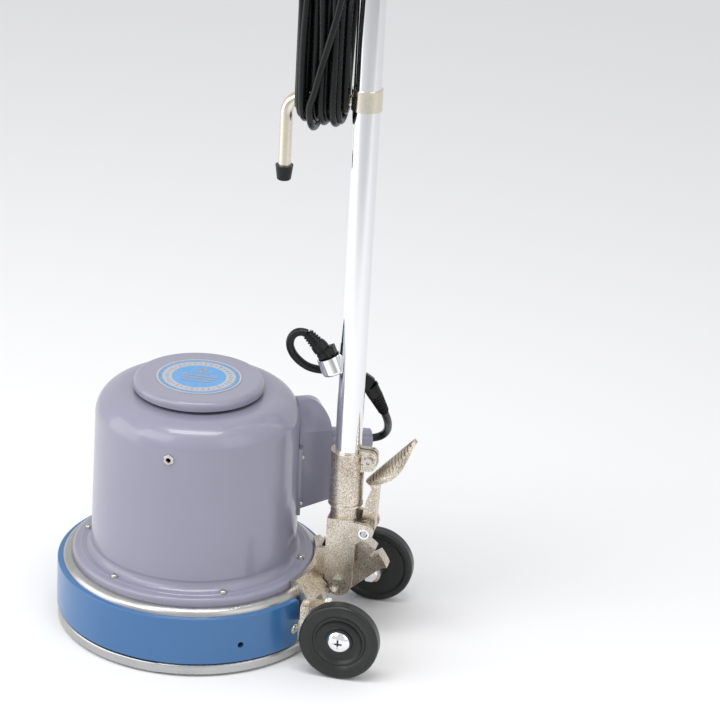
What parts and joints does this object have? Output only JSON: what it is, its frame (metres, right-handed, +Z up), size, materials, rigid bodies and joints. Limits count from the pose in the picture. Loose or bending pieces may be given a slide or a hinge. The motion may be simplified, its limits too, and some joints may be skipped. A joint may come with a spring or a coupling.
{
  "type": "rotary floor machine",
  "caption": "Upright single-disc floor scrubbing and polishing machine with a domed motor, tilting handle, foot pedal lock, transport wheels and a wound mains cord.",
  "frame": {"origin": "centre of the pad's face on the floor, on the motor's axis", "axes": "+Z up, along the handle tube; +X towards the operator; +Y to the operator's right"},
  "size_m": [0.5775, 0.441, 1.248],
  "materials": {
    "lavender_paint": "gloss enamel",
    "bumper_blue": "gloss",
    "cast_aluminium": "fine cast",
    "cast_nickel": "grainy nickel plate",
    "satin_nickel": "satin",
    "chrome": "polished",
    "zinc_steel": "bright zinc",
    "steel": "machined",
    "copper": "enamelled wire",
    "black_wheel": "satin",
    "black_plastic": "fine texture",
    "black_rubber": "satin",
    "grey_plastic": "fine texture",
    "badge_blue": "printed foil",
    "red_plastic": "gloss",
    "pad_fibre": "non-woven fibre"
  },
  "bodies": {
    "base": {"base_casting": "cast_aluminium", "bumper_band": "bumper_blue", "band_screws": "zinc_steel", "motor_cover": "lavender_paint", "cover_screws": "zinc_steel", "top_cap": "lavender_paint", "badge": "badge_blue", "gearbox_housing": "cast_aluminium", "ring_gear": "steel", "gearbox_cover": "cast_aluminium", "motor_frame": "steel", "stator_core": "steel", "stator_windings": "copper", "motor_end_bell": "cast_aluminium", "bearings": "steel", "junction_box": "lavender_paint", "junction_saddle": "lavender_paint", "capacitors": "cast_aluminium", "lead_gland": "lavender_paint", "yoke": "cast_nickel", "yoke_bolts": "zinc_steel", "quadrant": "cast_nickel", "pivot_bolt": "zinc_steel", "wheel_axles": "chrome"},
    "rotor": {"motor_shaft": "steel", "rotor_core": "steel", "cooling_fan": "black_plastic"},
    "pad_drive": {"planet_carrier": "steel", "clutch_plate": "cast_aluminium", "pad_driver": "black_plastic", "floor_pad": "pad_fibre"},
    "planet_1": {"planet_gear_1": "steel"},
    "planet_2": {"planet_gear_2": "steel"},
    "planet_3": {"planet_gear_3": "steel"},
    "right_wheel": {"wheel_right": "black_wheel"},
    "left_wheel": {"wheel_left": "black_wheel"},
    "handle": {"handle_fork": "cast_nickel", "clamp_bolt": "zinc_steel", "pedal_pin": "chrome", "pedal_spring": "steel", "handle_tube": "chrome", "lead_socket": "chrome", "lead_boot": "black_rubber", "motor_lead_upper": "black_rubber", "lead_connector": "black_plastic", "motor_lead_lower": "black_rubber", "cord_hooks": "satin_nickel", "hook_caps": "black_rubber", "switch_housing": "grey_plastic", "switch_module": "black_plastic", "handlebar": "chrome", "grips": "black_rubber", "cord_relief": "black_rubber", "power_cord_tail": "black_rubber", "power_cord_hank": "black_rubber", "power_plug": "black_plastic"},
    "pedal": {"pedal": "cast_nickel"},
    "right_trigger": {"trigger_right": "black_plastic"},
    "left_trigger": {"trigger_left": "black_plastic"},
    "button": {"lock_button": "red_plastic"}
  },
  "joints": [
    {"name": "pad_spin", "type": "hinge", "parent": "base", "child": "pad_drive", "pos_m": [0, 0, 0], "axis": [0, 0, 1], "continuous": true},
    {"name": "rotor_spin", "type": "hinge", "parent": "base", "child": "rotor", "pos_m": [0, 0, 0.2], "axis": [0, 0, 1], "continuous": true},
    {"name": "planet_1_spin", "type": "hinge", "parent": "pad_drive", "child": "planet_1", "pos_m": [0.042, 0, 0.09], "axis": [0, 0, 1], "continuous": true},
    {"name": "planet_2_spin", "type": "hinge", "parent": "pad_drive", "child": "planet_2", "pos_m": [-0.021, 0.03637, 0.09], "axis": [0, 0, 1], "continuous": true},
    {"name": "planet_3_spin", "type": "hinge", "parent": "pad_drive", "child": "planet_3", "pos_m": [-0.021, -0.03637, 0.09], "axis": [0, 0, 1], "continuous": true},
    {"name": "right_wheel_spin", "type": "hinge", "parent": "base", "child": "right_wheel", "pos_m": [0.276, 0.1385, 0.064], "axis": [0, 1, 0], "continuous": true},
    {"name": "left_wheel_spin", "type": "hinge", "parent": "base", "child": "left_wheel", "pos_m": [0.276, -0.1385, 0.064], "axis": [0, 1, 0], "continuous": true},
    {"name": "handle_tilt", "type": "hinge", "parent": "base", "child": "handle", "pos_m": [0.247, 0, 0.106], "axis": [0, 1, 0], "range_deg": [0, 55], "deforming": ["motor_lead_lower"]},
    {"name": "pedal_press", "type": "hinge", "parent": "handle", "child": "pedal", "pos_m": [0.2854, 0, 0.201], "axis": [0, 1, 0], "range_deg": [0, 16], "stiffness_Nm_per_rad": 4, "springref_deg": -8.59, "deforming": ["pedal_spring"]},
    {"name": "right_trigger_squeeze", "type": "hinge", "parent": "handle", "child": "right_trigger", "pos_m": [0.282, 0.068, 1.168], "axis": [1, 0, 0], "range_deg": [0, 7], "stiffness_Nm_per_rad": 2, "springref_deg": -5.73},
    {"name": "left_trigger_squeeze", "type": "hinge", "parent": "handle", "child": "left_trigger", "pos_m": [0.282, -0.068, 1.168], "axis": [-1, 0, 0], "range_deg": [0, 7], "stiffness_Nm_per_rad": 2, "springref_deg": -5.73},
    {"name": "lock_button_press", "type": "slide", "parent": "handle", "child": "button", "axis": [0, 0, -1], "range_m": [0, 0.0045], "stiffness_N_per_m": 300, "springref_m": -0.003}
  ],
  "couplings": [
    {"joint": "rotor_spin", "follows": "pad_spin", "ratio": 8},
    {"joint": "planet_1_spin", "follows": "pad_spin", "ratio": -2.3333},
    {"joint": "planet_2_spin", "follows": "pad_spin", "ratio": -2.3333},
    {"joint": "planet_3_spin", "follows": "pad_spin", "ratio": -2.3333}
  ]
}
